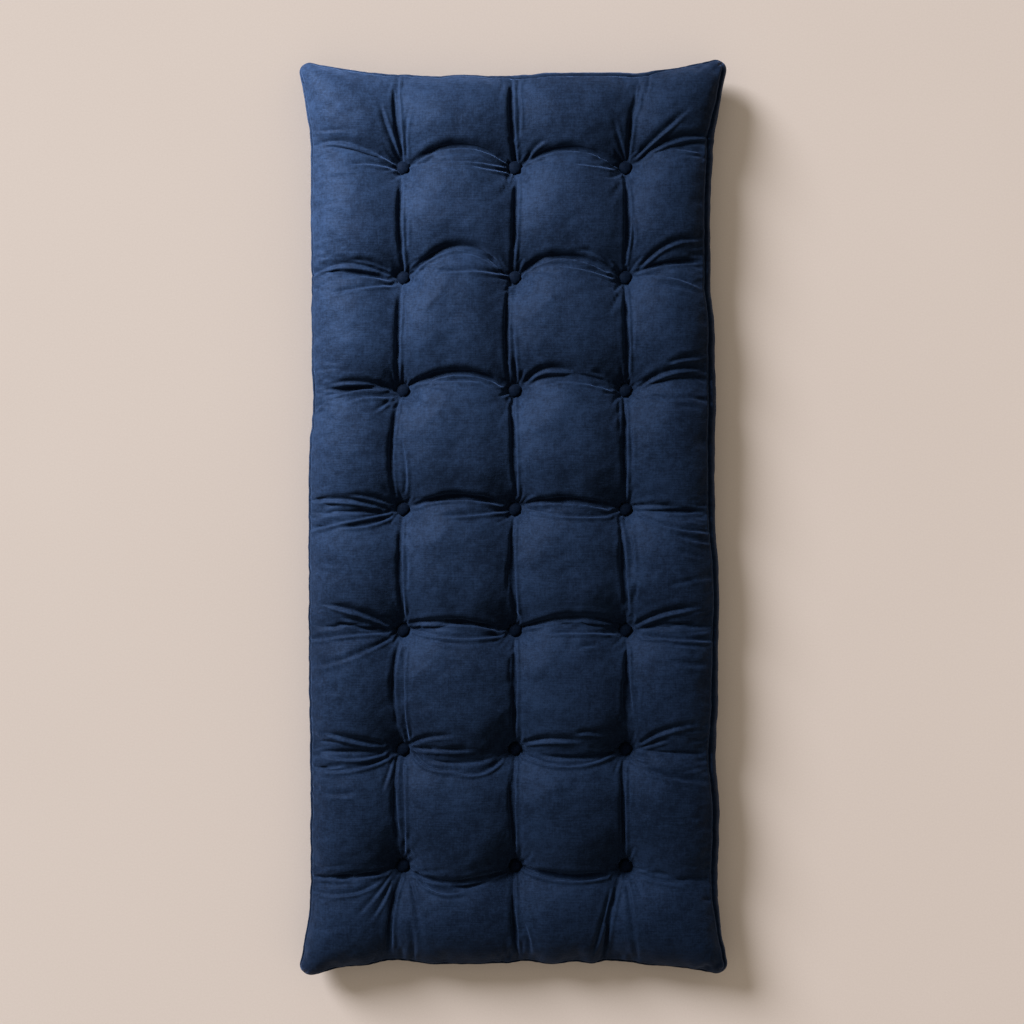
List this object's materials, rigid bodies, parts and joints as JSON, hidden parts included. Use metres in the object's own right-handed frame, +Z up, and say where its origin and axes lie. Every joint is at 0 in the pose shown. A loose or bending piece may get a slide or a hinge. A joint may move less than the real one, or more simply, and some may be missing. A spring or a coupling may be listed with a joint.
{
  "type": "futon mattress",
  "caption": "Button-tufted futon mattress in velvet: a knife-edge cover with pointed corners over batting and a foam core, tied through with covered buttons, to lie or sit on.",
  "frame": {"origin": "on the floor, under the middle of the mattress", "axes": "+X across the mattress, +Y along it towards the head end, +Z up from the floor"},
  "size_m": [0.912, 1.959, 0.12],
  "materials": {
    "cover_velvet": "short cotton velvet pile, matt with a soft sheen at grazing angles",
    "button_velvet": "the same velvet drawn tight over a button shell",
    "cotton_batting": "loose carded cotton",
    "core_foam": "open-cell foam",
    "tufting_twine": "waxed cotton twine and yarn"
  },
  "bodies": {
    "root": {"cover_top_panel": "cover_velvet", "cover_bottom_panel": "cover_velvet", "batting_upper": "cotton_batting", "foam_core": "core_foam", "batting_lower": "cotton_batting", "button_r1_c1": "button_velvet", "button_r1_c2": "button_velvet", "button_r1_c3": "button_velvet", "button_r2_c1": "button_velvet", "button_r2_c2": "button_velvet", "button_r2_c3": "button_velvet", "button_r3_c1": "button_velvet", "button_r3_c2": "button_velvet", "button_r3_c3": "button_velvet", "button_r4_c1": "button_velvet", "button_r4_c2": "button_velvet", "button_r4_c3": "button_velvet", "button_r5_c1": "button_velvet", "button_r5_c2": "button_velvet", "button_r5_c3": "button_velvet", "button_r6_c1": "button_velvet", "button_r6_c2": "button_velvet", "button_r6_c3": "button_velvet", "button_r7_c1": "button_velvet", "button_r7_c2": "button_velvet", "button_r7_c3": "button_velvet", "tuft_tie_r1_c1": "tufting_twine", "tuft_tie_r1_c2": "tufting_twine", "tuft_tie_r1_c3": "tufting_twine", "tuft_tie_r2_c1": "tufting_twine", "tuft_tie_r2_c2": "tufting_twine", "tuft_tie_r2_c3": "tufting_twine", "tuft_tie_r3_c1": "tufting_twine", "tuft_tie_r3_c2": "tufting_twine", "tuft_tie_r3_c3": "tufting_twine", "tuft_tie_r4_c1": "tufting_twine", "tuft_tie_r4_c2": "tufting_twine", "tuft_tie_r4_c3": "tufting_twine", "tuft_tie_r5_c1": "tufting_twine", "tuft_tie_r5_c2": "tufting_twine", "tuft_tie_r5_c3": "tufting_twine", "tuft_tie_r6_c1": "tufting_twine", "tuft_tie_r6_c2": "tufting_twine", "tuft_tie_r6_c3": "tufting_twine", "tuft_tie_r7_c1": "tufting_twine", "tuft_tie_r7_c2": "tufting_twine", "tuft_tie_r7_c3": "tufting_twine"}
  },
  "joints": []
}
